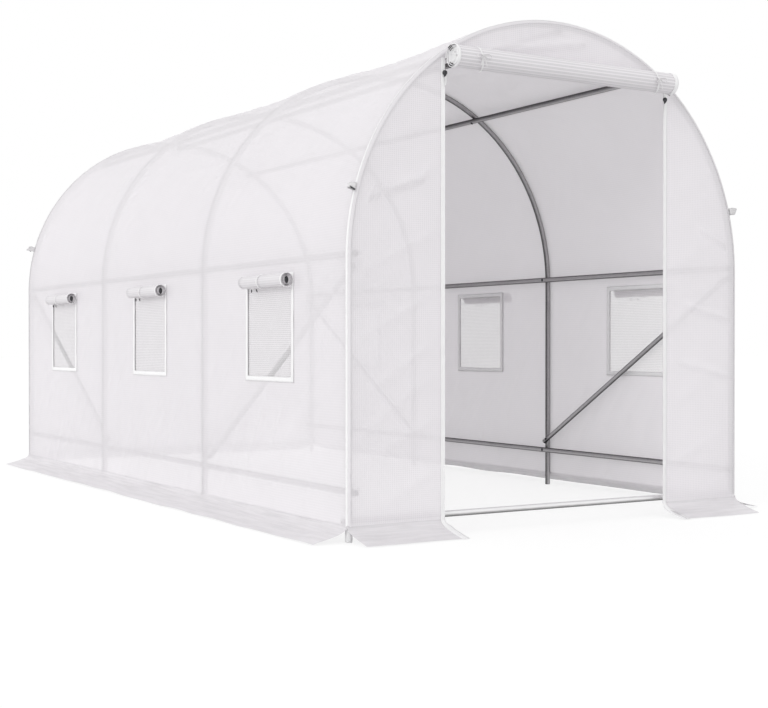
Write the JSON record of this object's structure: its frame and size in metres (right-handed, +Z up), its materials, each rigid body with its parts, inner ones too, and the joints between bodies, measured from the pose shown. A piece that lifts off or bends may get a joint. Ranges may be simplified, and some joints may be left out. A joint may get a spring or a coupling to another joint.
{
  "type": "polytunnel greenhouse",
  "caption": "Walk-in polytunnel: steel tube hoops and rails under a translucent film cover with a roll-up zip door, netted side windows and ground skirts.",
  "frame": {"origin": "centre of the footprint, on the ground", "axes": "+X right across the doorway end, +Y from the doorway end to the closed end, +Z up"},
  "size_m": [2.3014, 4.3014, 2.062],
  "materials": {
    "galvanised_tube": "galvanised, satin",
    "cover_film": "translucent reinforced film, satin",
    "insect_net": "fine open mesh",
    "zip_tape": "woven white tape",
    "webbing": "woven grey webbing"
  },
  "bodies": {
    "root": {"base_bar_front": "galvanised_tube", "base_bar_rear": "galvanised_tube", "brace_front_left": "galvanised_tube", "brace_front_right": "galvanised_tube", "brace_rear_left": "galvanised_tube", "brace_rear_right": "galvanised_tube", "door_roll": "cover_film", "end_front_left": "cover_film", "end_front_right": "cover_film", "end_front_top": "cover_film", "end_rear": "cover_film", "guy_loops": "webbing", "hoop_1": "galvanised_tube", "hoop_2": "galvanised_tube", "hoop_3": "galvanised_tube", "hoop_4": "galvanised_tube", "lower_rail_left": "galvanised_tube", "lower_rail_right": "galvanised_tube", "mid_rail_left": "galvanised_tube", "mid_rail_right": "galvanised_tube", "purlin_left": "galvanised_tube", "purlin_right": "galvanised_tube", "ridge_bar": "galvanised_tube", "roof_front": "cover_film", "roof_middle": "cover_film", "roof_rear": "cover_film", "side_wall_left_front": "cover_film", "side_wall_left_middle": "cover_film", "side_wall_left_rear": "cover_film", "side_wall_right_front": "cover_film", "side_wall_right_middle": "cover_film", "side_wall_right_rear": "cover_film", "skirt_front_left": "cover_film", "skirt_front_right": "cover_film", "skirt_left": "cover_film", "skirt_rear": "cover_film", "skirt_right": "cover_film", "window_nets_left": "insect_net", "window_nets_right": "insect_net", "window_rolls_left": "cover_film", "window_rolls_right": "cover_film", "zip_tapes": "zip_tape"}
  },
  "joints": []
}
